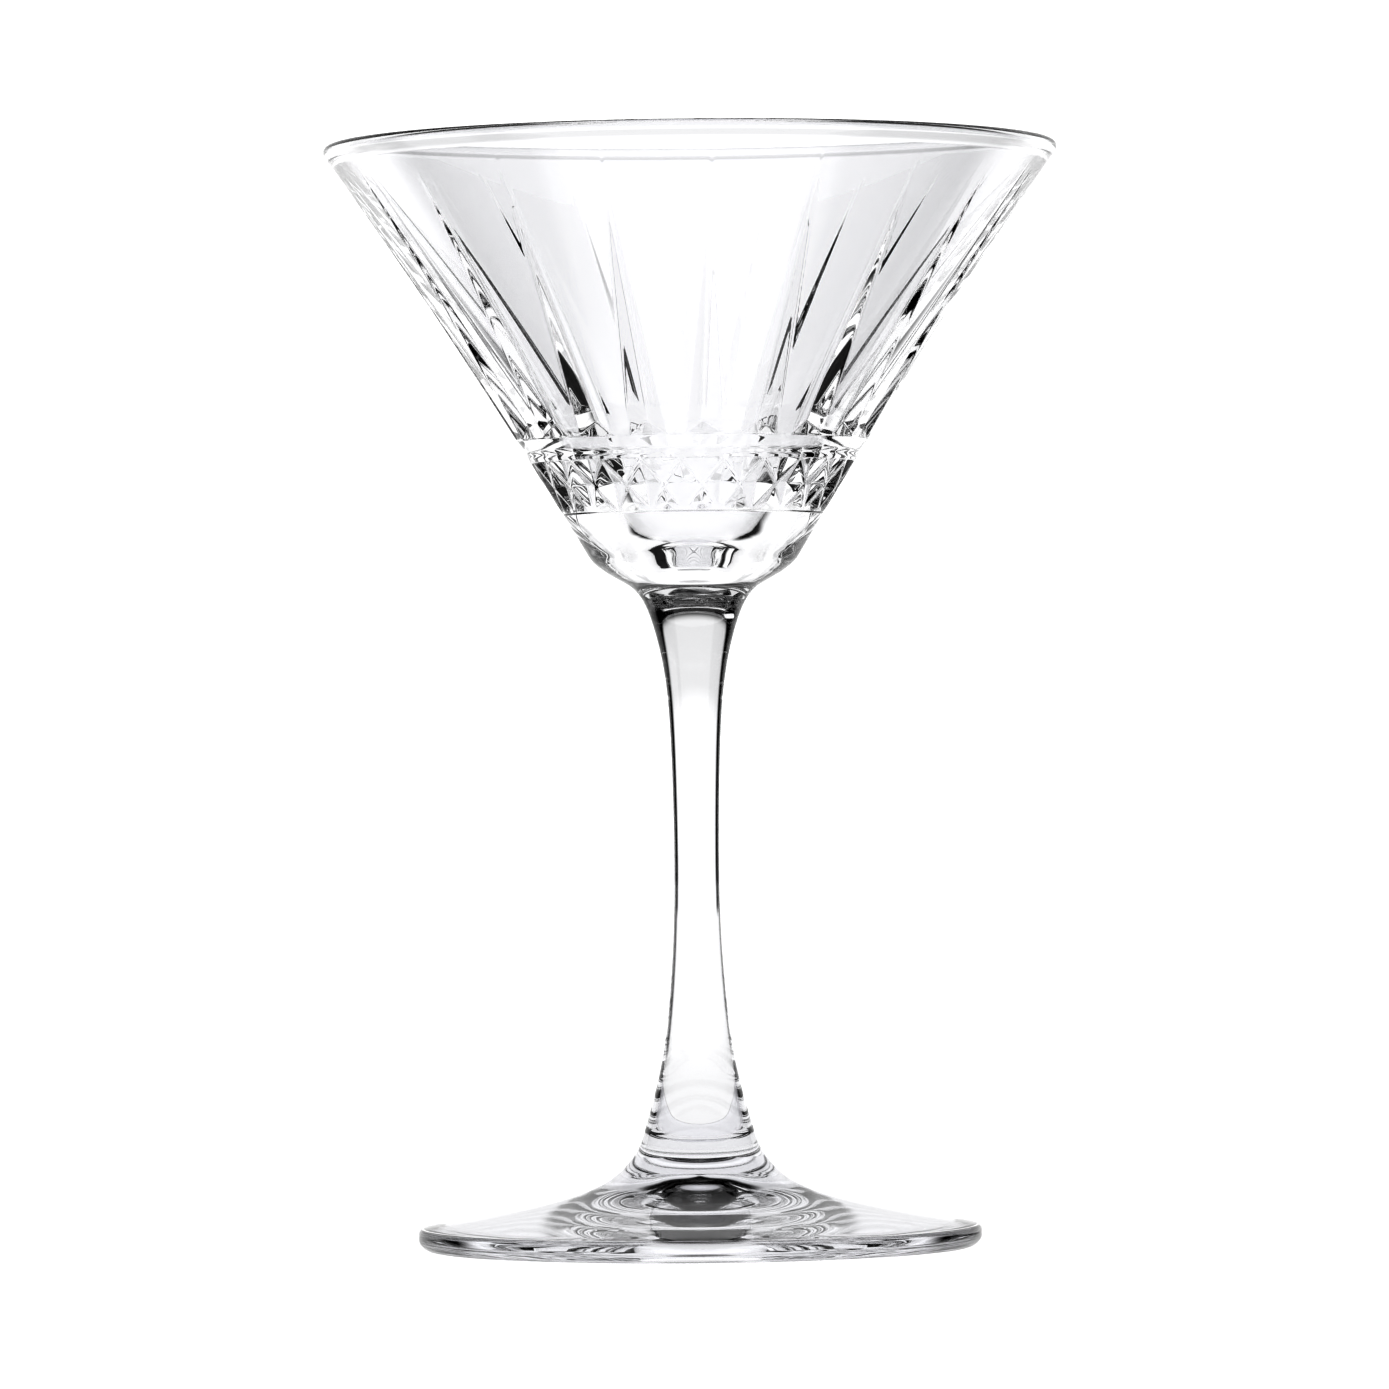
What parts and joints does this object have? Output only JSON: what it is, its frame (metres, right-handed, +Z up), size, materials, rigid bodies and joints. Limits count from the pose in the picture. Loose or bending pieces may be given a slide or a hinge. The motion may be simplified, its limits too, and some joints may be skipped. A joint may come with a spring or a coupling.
{
  "type": "martini glass",
  "caption": "Stemmed martini glass in clear pressed glass: conical bowl with long cut flutes over a collar and a band of cut diamonds, a slender flared stem and a round foot",
  "frame": {"origin": "centre of the foot, in the plane the glass stands on", "axes": "+Z up the axis of the glass; -Y is the side seen from the front; the cut pattern is turned 3.6 degrees from it towards +X"},
  "size_m": [0.113, 0.113, 0.1698],
  "materials": {
    "glass_bowl": "clear, fire-polished rim, cut pattern outside",
    "glass_stem": "clear, smooth",
    "glass_foot": "clear, smooth"
  },
  "bodies": {
    "root": {"bowl": "glass_bowl", "stem": "glass_stem", "foot": "glass_foot"}
  },
  "joints": []
}
